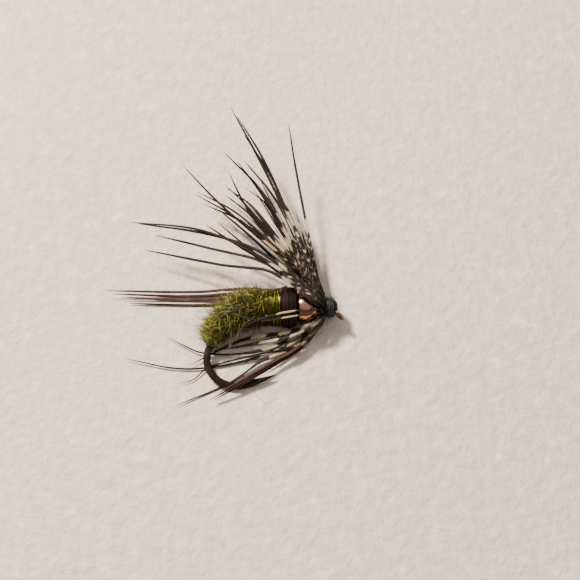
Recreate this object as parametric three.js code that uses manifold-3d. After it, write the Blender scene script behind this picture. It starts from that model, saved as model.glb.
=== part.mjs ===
// A soft-hackle fishing fly with a bead thorax on a curved hook, lying on its side.
// Millimetres. +X points at the hook eye, +Y at the fly's back, +Z up from the table.
import * as THREE from 'three';
import Module from 'manifold-3d';

const wasm = await Module();
wasm.setup();

// ---- driving dimensions ----
const SHANK_HEIGHT = 2.05;
const HOOK_TILT = THREE.MathUtils.degToRad(11);
const WIRE_RADIUS = 0.34;
const BEND_HALF_WIDTH = 0.38;
const BEND_HALF_THICKNESS = 0.24;
const POINT_RADIUS = 0.03;
const SPEAR_START_X = -5.6;
const EYE_CENTRE = [3.44, -0.8];
const EYE_RING_RADIUS = 0.53;
const EYE_WIRE_RADIUS = 0.21;
const EYE_HALF_THICKNESS = 0.148;
const EYE_DROP = THREE.MathUtils.degToRad(42);
const BEAD_RADIUS = 1.6;
const BEAD_BORE_RADIUS = 0.4;
const THREAD_BASE_RADIUS = 0.53;
const SLEEVE_BORE_RADIUS = 0.58;
const COLLAR_RADIUS = 2.03;
const COLLAR_FRONT_X = -0.9;
const COLLAR_BACK_X = -2.45;
const TINSEL_RADIUS = 1.96;
const TINSEL_BACK_X = -4.35;
const TINSEL_TURNS = 8;
const BODY_FRONT_X = -4.62;
const BODY_BACK_X = -9.62;
const HEAD_RADIUS = 1.0;
const STEM_RADIUS = 0.12;
const STEM_COIL_RADIUS = 0.5;
const ROOT_CIRCLE_RADIUS = 0.65;
const ROOT_CIRCLES_X = [1.62, 1.84, 2.06];
const BARB_ROOT_RADIUS = 0.085;
const BARB_TIP_RADIUS = 0.03;
const CLEARANCE = 0.03;

// Hook centreline in its own plane, from the eye round the bend to the point.
const HOOK_LINE = [
  [3.08, -0.48],
  [2.75, -0.2],
  [2.35, -0.03],
  [1.6, 0],
  [0.5, 0],
  [-1, 0],
  [-2.6, 0],
  [-4.2, -0.03],
  [-5.4, -0.24],
  [-6.65, -0.74],
  [-8.15, -1.88],
  [-9.35, -3.4],
  [-9.92, -4.6],
  [-10.02, -5.6],
  [-9.55, -6.85],
  [-8.5, -7.8],
  [-7.05, -8.15],
  [-5.05, -7.75],
  [-2.98, -7],
];

// Dubbed body radius at stations from its front to its back.
const BODY_RADII = [1.93, 1.9, 1.82, 1.74, 1.66, 1.56, 1.42, 1.24, 1.0, 0.72];

// Each barb: root circle (0 rear to 2 front), roll round the shank in degrees (0 toward the back
// of the fly, 90 straight up from the table), then the points it bends through, ending at its tip.
const BARBS = [
  // Upper fan
  [2, 22, [-4.5, 15.5, 4.6], [-7.9, 21.3, 7]],
  [1, 14, [-4.4, 16.6, 4], [-7.3, 20.9, 6]],
  [2, 42, [-3.8, 14.1, 5.5], [-6.4, 17.2, 8]],
  [2, 3, [-0.9, 15.3, 4], [-1.7, 20, 6]],
  [1, 33, [-4.6, 13, 3.5], [-8.7, 17, 5]],
  [1, 52, [-4.4, 11, 6], [-6.9, 13.2, 9]],
  [2, -16, [-3.1, 12.5, 2.5], [-6.6, 17.2, 3]],
  [2, 62, [-6, 8.4, 8.4], [-7.6, 10.7, 11]],
  [0, 60, [-6.1, 9.2, 7.2], [-8.2, 10.3, 9.5]],
  [0, -8, [-5.7, 11.9, 2.3], [-8.4, 14.2, 2]],
  [0, -28, [-5.8, 11.2, 1.4], [-8.7, 14, 1]],
  [0, 14, [-9.4, 11.6, 4], [-13, 15.3, 5]],
  [0, 38, [-7.2, 8.9, 5], [-11.4, 10.6, 7]],
  [1, -6, [-7, 10.2, 3.4], [-11.4, 12.6, 4]],
  [1, -26, [-6.5, 9.9, 2], [-10.8, 12.2, 2]],
  [1, 72, [-3.6, 8.6, 7.6], [-6, 9.2, 10.6]],
  [2, -36, [-3.3, 12.2, 1.4], [-4.8, 15.8, 1]],
  [1, -46, [-6.1, 8.9, 1.5], [-9.3, 12.1, 1]],
  // Swept-back barbs above the body
  [0, 84, [-5.4, 5, 4.8], [-10.8, 7.4, 5.1], [-18.2, 8.4, 5]],
  [2, 84, [-5, 5.2, 4.9], [-10.3, 7.1, 4.9], [-17.3, 8, 5.4]],
  [2, 104, [-4, 3.9, 4.4], [-9.3, 5.8, 3.8], [-15.7, 7.9, 3]],
  [0, 108, [-3.4, 2.9, 4.4], [-8.2, 4.2, 3.3], [-17, 6.7, 2]],
  [0, -50, [-4, 5, 2.2], [-7.3, 7, 2.8], [-10.5, 9.2, 3]],
  [1, 94, [-5.6, 5.5, 4.3], [-9, 8.3, 5]],
  // Swept straight back past the table side of the body
  [2, -60, [-4.6, 2.6, 0.85], [-12, 2.4, 0.65], [-20.8, 2.4, 1]],
  [1, -68, [-4.6, 2.25, 0.6], [-12, 2.05, 0.35], [-20.1, 2.2, 0.6]],
  [0, -74, [-4.6, 1.9, 0.35], [-12, 1.7, 0.2], [-19.3, 1.9, 0.5]],
  [2, -79, [-1.2, 1.5, 0.42], [-4.6, 1.65, 0.3], [-10.9, 1.4, 0.35], [-17.9, 1.5, 1.1]],
  [1, -86, [-1.2, 1.2, 0.24], [-4.6, 1.35, 0.14], [-10.9, 1.1, 0.12], [-18.5, 1.3, 0.25]],
  // Short barbs lying over the camera side of the body
  [1, 122, [-1.6, -1.5, 4.4], [-4.3, -2.2, 4.3], [-6.7, -3.2, 4]],
  [2, 132, [-1.5, -1.9, 4.1], [-4.3, -2.4, 4.2], [-8.5, -1.3, 4]],
  [0, 132, [-0.8, 1.2, 4.35], [-3, 1, 4.3], [-5.3, -0.1, 4.35]],
  // Under the body, crossing the gape
  [0, 162, [-1.3, -2.4, 1.5], [-6.5, -3, 0.5], [-11.8, -5.7, 0.4]],
  [2, 158, [-1.4, -2.9, 1.4], [-5.7, -3.6, 0.75], [-9.5, -4.2, 0.5]],
  [1, 170, [-1.4, -3, 1], [-4.7, -4.2, 0.5], [-10.5, -4.4, 0.45], [-14.1, -2.7, 0.4]],
  [0, -168, [-1.2, -3.4, 0.8], [-5, -4.9, 0.35], [-12.3, -6.1, 0.3], [-18.4, -5, 0.4]],
  [2, -176, [-0.6, -3.8, 1.1], [-4.6, -4.6, 0.7], [-10.4, -6.2, 0.3], [-11.5, -7.3, 0.25], [-13, -7.7, 0.3]],
  [1, -166, [-0.4, -3.6, 0.9], [-4.3, -5.2, 0.5], [-7.6, -7.5, 0.14], [-13, -10, 0.25]],
  [2, 178, [-0.2, -3.5, 1.3], [-2.7, -5.4, 1], [-5.8, -7.5, 1.2], [-9.6, -9.6, 0.8]],
  [1, -154, [0, -3.7, 1], [-2.7, -5.6, 0.8], [-5.8, -7.7, 1.1], [-9.2, -9.5, 0.5]],
  [0, -146, [-0.4, -3.9, 1.4], [-3, -5.5, 1.15], [-5.9, -7.35, 1.3], [-8.8, -9, 1.1]],
  // Steep ventral barbs toward the table, filling the ring of hackle
  [0, -100, [-2.6, -3.6, 0.35], [-6.2, -5.4, 0.2]],
  [2, -112, [-3.4, -2.8, 0.25], [-8.4, -3.9, 0.15]],
  [0, -124, [-1.5, -4.2, 0.6], [-4.2, -6.4, 0.3]],
];

// ---- geometry helpers ----

// Strand along a curve, of the radius radiusAt gives at each fraction along it. side is the direction
// its sections are squared to, shapeAt narrows or flattens them, and innerAt bores it through.
function strand(curve, stations, sides, radiusAt, side, shapeAt, innerAt) {
  const positions = [];
  const index = [];
  const rings = innerAt ? 2 : 1;
  for (let layer = 0; layer < rings; layer += 1) {
    for (let k = 0; k < stations.length; k += 1) {
      const at = stations[k];
      const centre = curve.getPointAt(at);
      const along = curve.getTangentAt(at);
      const across = new THREE.Vector3().crossVectors(side, along).normalize();
      const up = new THREE.Vector3().crossVectors(along, across).normalize();
      const radius = layer === 0 ? radiusAt(at) : innerAt(at);
      for (let s = 0; s < sides; s += 1) {
        const angle = (2 * Math.PI * (s + 0.5)) / sides;
        const shape = shapeAt && layer === 0 ? shapeAt(at) : { width: radius, limit: radius };
        const a = shape.width * Math.cos(angle);
        const b = THREE.MathUtils.clamp(radius * Math.sin(angle), -shape.limit, shape.limit);
        const point = centre.clone().addScaledVector(across, a).addScaledVector(up, b);
        positions.push(point.x, point.y, point.z);
      }
    }
  }
  const count = stations.length;
  const vertex = (layer, k, s) => (layer * count + k) * sides + (s % sides);
  for (let layer = 0; layer < rings; layer += 1) {
    for (let k = 0; k + 1 < count; k += 1) {
      for (let s = 0; s < sides; s += 1) {
        const a = vertex(layer, k, s);
        const b = vertex(layer, k, s + 1);
        const c = vertex(layer, k + 1, s);
        const d = vertex(layer, k + 1, s + 1);
        if (layer === 0) {
          index.push(a, b, d, a, d, c);
        } else {
          index.push(a, d, b, a, c, d);
        }
      }
    }
  }
  if (innerAt) {
    for (let s = 0; s < sides; s += 1) {
      const last = count - 1;
      index.push(vertex(0, 0, s), vertex(1, 0, s), vertex(1, 0, s + 1));
      index.push(vertex(0, 0, s), vertex(1, 0, s + 1), vertex(0, 0, s + 1));
      index.push(vertex(0, last, s), vertex(1, last, s + 1), vertex(1, last, s));
      index.push(vertex(0, last, s), vertex(0, last, s + 1), vertex(1, last, s + 1));
    }
  } else {
    for (let s = 1; s + 1 < sides; s += 1) {
      index.push(vertex(0, 0, 0), vertex(0, 0, s + 1), vertex(0, 0, s));
      index.push(vertex(0, count - 1, 0), vertex(0, count - 1, s), vertex(0, count - 1, s + 1));
    }
  }
  return geometryFrom(positions, index);
}

// Closed ring of wire with its faces ground flat to half thickness either side.
function flatRing(centre, inPlane, upward, ringRadius, wireRadius, halfThickness, around, sides) {
  const axis = new THREE.Vector3().crossVectors(inPlane, upward).normalize();
  const positions = [];
  const index = [];
  for (let k = 0; k < around; k += 1) {
    const turn = (2 * Math.PI * k) / around;
    const outward = inPlane.clone().multiplyScalar(Math.cos(turn)).addScaledVector(upward, Math.sin(turn));
    for (let s = 0; s < sides; s += 1) {
      const angle = (2 * Math.PI * (s + 0.5)) / sides;
      const out = ringRadius + wireRadius * Math.cos(angle);
      const lift = THREE.MathUtils.clamp(wireRadius * Math.sin(angle), -halfThickness, halfThickness);
      const point = centre.clone().addScaledVector(outward, out).addScaledVector(axis, lift);
      positions.push(point.x, point.y, point.z);
    }
  }
  for (let k = 0; k < around; k += 1) {
    for (let s = 0; s < sides; s += 1) {
      const a = k * sides + s;
      const b = k * sides + ((s + 1) % sides);
      const c = ((k + 1) % around) * sides + s;
      const d = ((k + 1) % around) * sides + ((s + 1) % sides);
      index.push(a, b, d, a, d, c);
    }
  }
  return geometryFrom(positions, index);
}

function geometryFrom(positions, index) {
  const geometry = new THREE.BufferGeometry();
  geometry.setAttribute('position', new THREE.Float32BufferAttribute(positions, 3));
  geometry.setIndex(index);
  if (signedVolume(geometry) < 0) {
    for (let i = 0; i < index.length; i += 3) {
      const keep = index[i];
      index[i] = index[i + 1];
      index[i + 1] = keep;
    }
    geometry.setIndex(index);
  }
  geometry.computeVertexNormals();
  return geometry;
}

function signedVolume(geometry) {
  const position = geometry.attributes.position;
  const index = geometry.index;
  const a = new THREE.Vector3();
  const b = new THREE.Vector3();
  const c = new THREE.Vector3();
  let total = 0;
  for (let i = 0; i < index.count; i += 3) {
    a.fromBufferAttribute(position, index.getX(i));
    b.fromBufferAttribute(position, index.getX(i + 1));
    c.fromBufferAttribute(position, index.getX(i + 2));
    total += a.dot(b.cross(c)) / 6;
  }
  return total;
}

function toSolid(geometry) {
  const mesh = new wasm.Mesh({
    numProp: 3,
    vertProperties: new Float32Array(geometry.attributes.position.array),
    triVerts: new Uint32Array(geometry.index.array),
  });
  mesh.merge();
  return new wasm.Manifold(mesh);
}

function fromSolid(solid) {
  const mesh = solid.getMesh();
  return geometryFrom(Array.from(mesh.vertProperties), Array.from(mesh.triVerts));
}

// Turned piece on the shank axis: profile points are [distance along X, radius].
function turned(profile, segments) {
  const points = profile.map(([x, radius]) => new THREE.Vector2(radius, x));
  let geometry = new THREE.LatheGeometry(points, segments);
  if (signedVolume(geometry) < 0) {
    geometry = new THREE.LatheGeometry(points.reverse(), segments);
  }
  geometry.rotateZ(-Math.PI / 2);
  return geometry;
}

function evenly(from, to, count) {
  return Array.from({ length: count + 1 }, (_, i) => from + ((to - from) * i) / count);
}

// ---- the fly ----
const fly = new THREE.Group();
fly.name = 'soft_hackle_fly';

function addPiece(name, geometry, look, tilted) {
  const mesh = new THREE.Mesh(geometry, new THREE.MeshStandardMaterial(look));
  mesh.name = name;
  mesh.position.z = SHANK_HEIGHT;
  mesh.rotation.x = tilted ? HOOK_TILT : 0;
  fly.add(mesh);
  return mesh;
}

const planeNormal = new THREE.Vector3(0, 0, 1);
const hookCurve = new THREE.CatmullRomCurve3(
  HOOK_LINE.map(([x, y]) => new THREE.Vector3(x, y, 0)),
  false,
  'centripetal',
);
hookCurve.arcLengthDivisions = 1200;

// Fraction along the hook, between the eye and the far side of the bend, where it reaches x.
function fractionAt(x) {
  let low = 0;
  let high = 0.52;
  for (let i = 0; i < 40; i += 1) {
    const middle = (low + high) / 2;
    if (hookCurve.getPointAt(middle).x > x) {
      low = middle;
    } else {
      high = middle;
    }
  }
  return (low + high) / 2;
}

// Fraction along the spear where it reaches x, past the bottom of the bend.
function spearFractionAt(x) {
  let low = 0.8;
  let high = 1;
  for (let i = 0; i < 40; i += 1) {
    const middle = (low + high) / 2;
    if (hookCurve.getPointAt(middle).x < x) {
      low = middle;
    } else {
      high = middle;
    }
  }
  return (low + high) / 2;
}

const spearStart = spearFractionAt(SPEAR_START_X);
const forgeStart = fractionAt(-9.3);
const forgeFull = fractionAt(-9.75);

function wireRadiusAt(at) {
  const taper = THREE.MathUtils.clamp((at - spearStart) / (1 - spearStart), 0, 1);
  return THREE.MathUtils.lerp(WIRE_RADIUS, POINT_RADIUS, taper ** 1.4);
}

function wireShapeAt(at) {
  const forged = THREE.MathUtils.smoothstep(at, forgeStart, forgeFull);
  const radius = wireRadiusAt(at);
  const slim = radius / WIRE_RADIUS;
  return {
    width: slim * THREE.MathUtils.lerp(WIRE_RADIUS, BEND_HALF_WIDTH, forged),
    limit: Math.min(radius, THREE.MathUtils.lerp(WIRE_RADIUS, BEND_HALF_THICKNESS, forged)),
  };
}

function hookSolid(extra) {
  const wire = toSolid(strand(
    hookCurve,
    evenly(0, 1, 84),
    12,
    (at) => wireRadiusAt(at) + extra,
    planeNormal,
    (at) => {
      const shape = wireShapeAt(at);
      return { width: shape.width + extra, limit: shape.limit + extra };
    },
  ));
  const drop = new THREE.Vector3(Math.cos(EYE_DROP), -Math.sin(EYE_DROP), 0);
  const eye = toSolid(flatRing(
    new THREE.Vector3(EYE_CENTRE[0], EYE_CENTRE[1], 0),
    drop,
    planeNormal,
    EYE_RING_RADIUS,
    EYE_WIRE_RADIUS + extra,
    EYE_HALF_THICKNESS + extra,
    28,
    12,
  ));
  return wire.add(eye);
}

const microBarb = toSolid(strand(
  new THREE.LineCurve3(new THREE.Vector3(-5.75, -7.8, 0), new THREE.Vector3(-6.3, -7.16, 0)),
  [0, 1],
  6,
  (at) => THREE.MathUtils.lerp(0.2, 0.02, at),
  planeNormal,
));
addPiece(
  'hook',
  fromSolid(hookSolid(0).add(microBarb)),
  { color: 0x2b2a24, roughness: 0.35, metalness: 0.85 },
  true,
);

// Bead with a drilled bore.
const boreAngle = Math.asin(BEAD_BORE_RADIUS / BEAD_RADIUS);
const beadProfile = evenly(boreAngle, Math.PI - boreAngle, 20).map((angle) => [
  -BEAD_RADIUS * Math.cos(angle),
  BEAD_RADIUS * Math.sin(angle),
]);
beadProfile.push([...beadProfile[0]]);
addPiece('bead', turned(beadProfile, 40), { color: 0xb06a50, roughness: 0.14, metalness: 1 });

// Thread base on the shank under the body.
addPiece(
  'thread_base',
  strand(
    hookCurve,
    evenly(fractionAt(-1.66), fractionAt(BODY_BACK_X - 0.14), 22),
    12,
    () => THREAD_BASE_RADIUS,
    planeNormal,
    null,
    () => WIRE_RADIUS + 0.08,
  ),
  { color: 0x4a3b22, roughness: 0.8, metalness: 0 },
  true,
);

// Dubbed rear body.
const bodyFront = fractionAt(BODY_FRONT_X);
const bodyBack = fractionAt(BODY_BACK_X);
function bodyRadiusAt(at) {
  const along = ((at - bodyFront) / (bodyBack - bodyFront)) * (BODY_RADII.length - 1);
  const low = THREE.MathUtils.clamp(Math.floor(along), 0, BODY_RADII.length - 2);
  return THREE.MathUtils.lerp(BODY_RADII[low], BODY_RADII[low + 1], THREE.MathUtils.clamp(along - low, 0, 1));
}
addPiece(
  'dubbed_body',
  strand(
    hookCurve,
    evenly(bodyFront, bodyBack, 18),
    20,
    bodyRadiusAt,
    planeNormal,
    null,
    () => SLEEVE_BORE_RADIUS + 0.02,
  ),
  { color: 0x76801f, roughness: 0.95, metalness: 0 },
  true,
);

// Close turns of tinsel in front of the dubbing.
const tinselProfile = [[COLLAR_BACK_X - CLEARANCE, SLEEVE_BORE_RADIUS + 0.02]];
for (let turn = 0; turn < TINSEL_TURNS; turn += 1) {
  const pitch = (COLLAR_BACK_X - CLEARANCE - TINSEL_BACK_X) / TINSEL_TURNS;
  const front = COLLAR_BACK_X - CLEARANCE - pitch * turn;
  tinselProfile.push([front, TINSEL_RADIUS - 0.08]);
  tinselProfile.push([front - pitch * 0.25, TINSEL_RADIUS - 0.01]);
  tinselProfile.push([front - pitch * 0.55, TINSEL_RADIUS]);
  tinselProfile.push([front - pitch * 0.85, TINSEL_RADIUS - 0.03]);
}
tinselProfile.push([TINSEL_BACK_X, TINSEL_RADIUS - 0.08]);
tinselProfile.push([TINSEL_BACK_X, SLEEVE_BORE_RADIUS + 0.02]);
tinselProfile.push([...tinselProfile[0]]);
addPiece(
  'tinsel_wraps',
  turned(tinselProfile, 36),
  { color: 0x8a9a1e, roughness: 0.3, metalness: 0.35 },
);

// Thread collar built up against the back of the bead.
const beadSeat = BEAD_RADIUS + CLEARANCE + 0.01;
const collarProfile = [
  [COLLAR_BACK_X, SLEEVE_BORE_RADIUS],
  [COLLAR_BACK_X, COLLAR_RADIUS - 0.15],
  [COLLAR_BACK_X + 0.15, COLLAR_RADIUS - 0.03],
  [COLLAR_BACK_X + 0.6, COLLAR_RADIUS],
  [COLLAR_FRONT_X - 0.4, COLLAR_RADIUS - 0.02],
  [COLLAR_FRONT_X - 0.1, COLLAR_RADIUS - 0.14],
  [COLLAR_FRONT_X, COLLAR_RADIUS - 0.3],
];
const seatStart = Math.acos(-COLLAR_FRONT_X / beadSeat);
const seatEnd = Math.asin(SLEEVE_BORE_RADIUS / beadSeat);
for (const angle of evenly(seatStart, seatEnd, 8)) {
  collarProfile.push([-beadSeat * Math.cos(angle), beadSeat * Math.sin(angle)]);
}
collarProfile.push([...collarProfile[0]]);
addPiece(
  'thread_collar',
  turned(collarProfile, 36),
  { color: 0x3a1420, roughness: 0.55, metalness: 0 },
);

// Feather stem wound on the shank in front of the bead.
class StemCoil extends THREE.Curve {
  getPoint(t, target = new THREE.Vector3()) {
    const angle = t * 1.9 * 2 * Math.PI;
    return target.set(
      THREE.MathUtils.lerp(1.64, 2.1, t),
      STEM_COIL_RADIUS * Math.cos(angle),
      STEM_COIL_RADIUS * Math.sin(angle),
    );
  }
}
addPiece(
  'feather_stem',
  strand(new StemCoil(), evenly(0, 1, 40), 6, () => STEM_RADIUS, new THREE.Vector3(1, 0, 0)),
  { color: 0xb9a680, roughness: 0.6, metalness: 0 },
);

// Thread head wound down behind the eye, cut to fit round the wire.
const headProfile = [
  [2.26, 0],
  [2.26, 0.62],
  [2.3, 0.88],
  [2.45, HEAD_RADIUS],
  [2.7, HEAD_RADIUS - 0.04],
  [2.95, 0.86],
  [3.15, 0.66],
  [3.28, 0.42],
  [3.34, 0.2],
  [3.36, 0],
];
const headGeometry = turned(headProfile, 28);
headGeometry.deleteAttribute('uv');
headGeometry.deleteAttribute('normal');
const headIndexed = geometryFrom(
  Array.from(headGeometry.attributes.position.array),
  Array.from(headGeometry.index.array),
);
addPiece(
  'thread_head',
  fromSolid(toSolid(headIndexed).subtract(hookSolid(CLEARANCE))),
  { color: 0x2a2c30, roughness: 0.5, metalness: 0 },
  true,
);

// Feather barbs, each rooted on the wound stem.
BARBS.forEach(([circle, roll, ...bends], i) => {
  const angle = THREE.MathUtils.degToRad(roll);
  const rootX = ROOT_CIRCLES_X[circle];
  const ring = (x, radius) => new THREE.Vector3(x, radius * Math.cos(angle), radius * Math.sin(angle));
  const way = [
    ring(rootX, ROOT_CIRCLE_RADIUS),
    ring(rootX - 0.12, 1.15),
    ring(rootX - 0.38, 1.8),
    ...bends.map(([x, y, z]) => new THREE.Vector3(x, y, z - SHANK_HEIGHT)),
  ];
  const curve = new THREE.CatmullRomCurve3(way, false, 'centripetal');
  const towardTip = way[way.length - 1].clone().sub(way[0]).normalize();
  const side = Math.abs(towardTip.z) < 0.7 ? new THREE.Vector3(0, 0, 1) : new THREE.Vector3(0, 1, 0);
  addPiece(
    `hackle_barb_${String(i + 1).padStart(2, '0')}`,
    strand(
      curve,
      [0, 0.04, 0.1, 0.17, 0.26, 0.36, 0.47, 0.58, 0.69, 0.8, 0.91, 1],
      5,
      (at) => THREE.MathUtils.lerp(BARB_ROOT_RADIUS, BARB_TIP_RADIUS, at),
      side,
    ),
    { color: 0x3a2a22, roughness: 0.7, metalness: 0 },
  );
});

// Rest on the table with the origin under the middle of the fly.
fly.updateMatrixWorld(true);
const reach = new THREE.Box3().setFromObject(fly, true);
fly.position.set(
  -(reach.min.x + reach.max.x) / 2,
  -(reach.min.y + reach.max.y) / 2,
  -reach.min.z,
);

export default fly;
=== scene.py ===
import math

import bpy
import numpy as np
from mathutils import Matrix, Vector


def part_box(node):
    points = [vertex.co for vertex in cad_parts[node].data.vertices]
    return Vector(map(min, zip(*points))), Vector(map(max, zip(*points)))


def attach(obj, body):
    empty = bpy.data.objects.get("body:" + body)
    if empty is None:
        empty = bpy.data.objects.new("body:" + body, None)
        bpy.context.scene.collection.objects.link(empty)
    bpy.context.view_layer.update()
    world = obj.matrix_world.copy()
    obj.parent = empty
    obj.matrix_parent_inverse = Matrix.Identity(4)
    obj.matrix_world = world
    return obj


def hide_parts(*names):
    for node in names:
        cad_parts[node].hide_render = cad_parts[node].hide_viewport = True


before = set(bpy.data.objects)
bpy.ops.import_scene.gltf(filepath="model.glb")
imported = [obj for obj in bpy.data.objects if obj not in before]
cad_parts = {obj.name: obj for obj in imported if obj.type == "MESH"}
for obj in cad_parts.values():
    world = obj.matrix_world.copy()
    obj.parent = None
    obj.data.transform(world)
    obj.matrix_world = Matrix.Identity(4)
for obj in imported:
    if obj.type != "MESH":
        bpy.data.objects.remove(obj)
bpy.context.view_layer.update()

MM = 0.001
RNG = np.random.default_rng(7)

# ---- places taken from the frame ----
BEAD_LOW, BEAD_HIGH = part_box("bead")
BEAD = np.array((BEAD_LOW + BEAD_HIGH) / 2)
BARB_ROOTS = BEAD + np.array([1.84, 0, 0]) * MM
FAN_CENTRE = BEAD + np.array([1.8, 0, 0]) * MM

# Least heights above the table: for any point of a piece, and for the centreline of a hair made by fibres().
LOWEST_POINT = 0.01 * MM
LOWEST_HAIR = 0.06 * MM

# ---- the fly's own measures: sizes in millimetres, places from the bead's centre ----
HOOK_TILT = math.radians(11)
HOOK_LINE = np.array([
    [3.08, -0.48], [2.75, -0.2], [2.35, -0.03], [1.6, 0], [0.5, 0], [-1, 0], [-2.6, 0],
    [-4.2, -0.03], [-5.4, -0.24], [-6.65, -0.74], [-8.15, -1.88], [-9.35, -3.4], [-9.92, -4.6],
    [-10.02, -5.6], [-9.55, -6.85], [-8.5, -7.8], [-7.05, -8.15], [-5.05, -7.75], [-2.98, -7],
])
WIRE_RADIUS = 0.34
BEND_HALF_WIDTH = 0.38
BEND_HALF_THICKNESS = 0.24
EYE_CENTRE = (3.44, -0.8)
EYE_RING_RADIUS = 0.53
EYE_WIRE_RADIUS = 0.21
EYE_HALF_THICKNESS = 0.148
EYE_DROP = math.radians(42)
HOOK_POINT_SHARE = 0.04
SPEAR_X = -5.6
FORGED_X = -9.4
BEAD_RADIUS = 1.6
BEAD_BORE_RADIUS = 0.4
BODY_FRONT_X = -4.42
BODY_BACK_X = -9.62
BODY_RADII = [1.93, 1.9, 1.82, 1.74, 1.66, 1.56, 1.42, 1.24, 1.0, 0.72]
BODY_SCALE = 0.92
CORE_STEPS = 90
CORE_SIDES = 96
BASE_FRONT_X = -1.66
BASE_TURNS = 75
BASE_STEPS = 3000
BASE_RADIUS = 0.47
STEM_TURNS = 1.9
STEM_STEPS = 180
STEM_COIL_RADIUS = 0.5
COLLAR_PITCH = 0.085
HEAD_PITCH = 0.1
CORE_DEPTH = 0.07
COLLAR_PATH = [(-2.47, 1.5), (-2.44, 1.8), (-2.3, 1.97), (-1.9, 2.03), (-1.3, 2.02), (-1.02, 1.92),
               (-0.9, 1.76), (-0.93, 1.55), (-1.0, 1.32)]
HEAD_PATH = [(1.98, 0.6), (2.02, 0.8), (2.16, 0.94), (2.4, 1.0), (2.65, 0.98), (2.9, 0.86), (3.1, 0.68),
             (3.24, 0.45), (3.3, 0.22)]


# ---- mesh making ----

def unit(v):
    return v / np.maximum(np.linalg.norm(v, axis=-1, keepdims=True), 1e-12)


def sweep(lines, widths, thicks, normals, sides):
    """Closed tubes along lines (m, n, 3), widths across them and thicks along the normals."""
    m, n, _ = lines.shape
    along = unit(np.gradient(lines, axis=1))
    up = unit(normals - (normals * along).sum(-1, keepdims=True) * along)
    across = np.cross(along, up)
    angle = 2 * np.pi * (np.arange(sides) + 0.5) / sides
    verts = (
        lines[:, :, None, :]
        + across[:, :, None, :] * widths[:, :, None, None] * np.cos(angle)[:, None]
        + up[:, :, None, :] * thicks[:, :, None, None] * np.sin(angle)[:, None]
    ).reshape(-1, 3)
    tube, ring, side = np.meshgrid(np.arange(m), np.arange(n - 1), np.arange(sides), indexing="ij")
    start = (tube * n + ring) * sides
    after = (side + 1) % sides
    quads = np.stack([
        start + side, start + sides + side, start + sides + after, start + after,
    ], -1).reshape(-1, 4)
    fan = np.arange(1, sides - 1)
    first = (np.arange(m) * n * sides)[:, None]
    last = first + (n - 1) * sides
    tris = np.concatenate([
        np.stack([first + 0 * fan, first + fan, first + fan + 1], -1).reshape(-1, 3),
        np.stack([last + 0 * fan, last + fan + 1, last + fan], -1).reshape(-1, 3),
    ])
    return verts, quads, tris


def joined(parts):
    """Joins parts of (verts, quads, tris, {attribute: values}) into one."""
    verts, quads, tris, attrs, base = [], [], [], {}, 0
    for v, q, t, a in parts:
        verts.append(v)
        quads.append(q + base)
        tris.append(t + base)
        base += len(v)
        for key, values in a.items():
            attrs.setdefault(key, []).append(values)
    return (np.concatenate(verts), np.concatenate(quads), np.concatenate(tris),
            {k: np.concatenate(v) for k, v in attrs.items()})


def piece(name, part, material, replaces=(), sharp=None):
    """A finished piece of the fly from (verts in metres, quads, tris, attributes)."""
    verts, quads, tris, attrs = part
    verts = np.array(verts)
    verts[:, 2] = np.maximum(verts[:, 2], LOWEST_POINT)
    mesh = bpy.data.meshes.new(name)
    mesh.vertices.add(len(verts))
    mesh.vertices.foreach_set("co", np.asarray(verts, np.float32).ravel())
    corners = np.concatenate([quads.ravel(), tris.ravel()]).astype(np.int32)
    mesh.loops.add(len(corners))
    mesh.loops.foreach_set("vertex_index", corners)
    starts = np.concatenate([np.arange(len(quads)) * 4, len(quads) * 4 + np.arange(len(tris)) * 3])
    mesh.polygons.add(len(starts))
    mesh.polygons.foreach_set("loop_start", starts.astype(np.int32))
    mesh.update(calc_edges=True)
    mesh.shade_smooth()
    if sharp is not None:
        mesh.set_sharp_from_angle(angle=sharp)
    for key, values in attrs.items():
        layer = mesh.attributes.new(key, "FLOAT", "POINT")
        layer.data.foreach_set("value", np.asarray(values, np.float32))
    mesh.materials.append(material)
    obj = bpy.data.objects.new(name, mesh)
    bpy.context.scene.collection.objects.link(obj)
    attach(obj, "root")
    if replaces:
        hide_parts(*replaces)


def smooth_line(points, count):
    """Evenly spaced points on a Hermite curve through the given ones, and the curve's length."""
    points = np.asarray(points, float)
    knots = np.concatenate([[0], np.cumsum(np.linalg.norm(np.diff(points, axis=0), axis=1))])
    slopes = np.gradient(points, knots, axis=0)
    fine = np.linspace(0, knots[-1], max(count * 6, 400))
    k = np.clip(np.searchsorted(knots, fine, "right") - 1, 0, len(knots) - 2)
    h = (knots[k + 1] - knots[k])[:, None]
    t = ((fine - knots[k])[:, None]) / h
    curve = (
        (2 * t ** 3 - 3 * t ** 2 + 1) * points[k]
        + (t ** 3 - 2 * t ** 2 + t) * h * slopes[k]
        + (3 * t ** 2 - 2 * t ** 3) * points[k + 1]
        + (t ** 3 - t ** 2) * h * slopes[k + 1]
    )
    length = np.concatenate([[0], np.cumsum(np.linalg.norm(np.diff(curve, axis=0), axis=1))])
    want = np.linspace(0, length[-1], count)
    return np.stack([np.interp(want, length, curve[:, a]) for a in range(3)], -1), length[-1]


def to_frame(points):
    """Millimetres on the hook's plane (along, across, out of plane) to metres in the part's frame."""
    points = np.asarray(points, float)
    c, s = math.cos(HOOK_TILT), math.sin(HOOK_TILT)
    u, v, n = points[..., 0], points[..., 1], points[..., 2]
    return BEAD + np.stack([u, v * c - n * s, v * s + n * c], -1) * MM


# ---- node materials ----

SPECKLE_SCALE = 900


def new_material(name):
    mat = bpy.data.materials.new(name)
    mat.use_nodes = True
    nodes = mat.node_tree.nodes
    shader = nodes.get("Principled BSDF")
    return mat, nodes, mat.node_tree.links, shader


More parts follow.
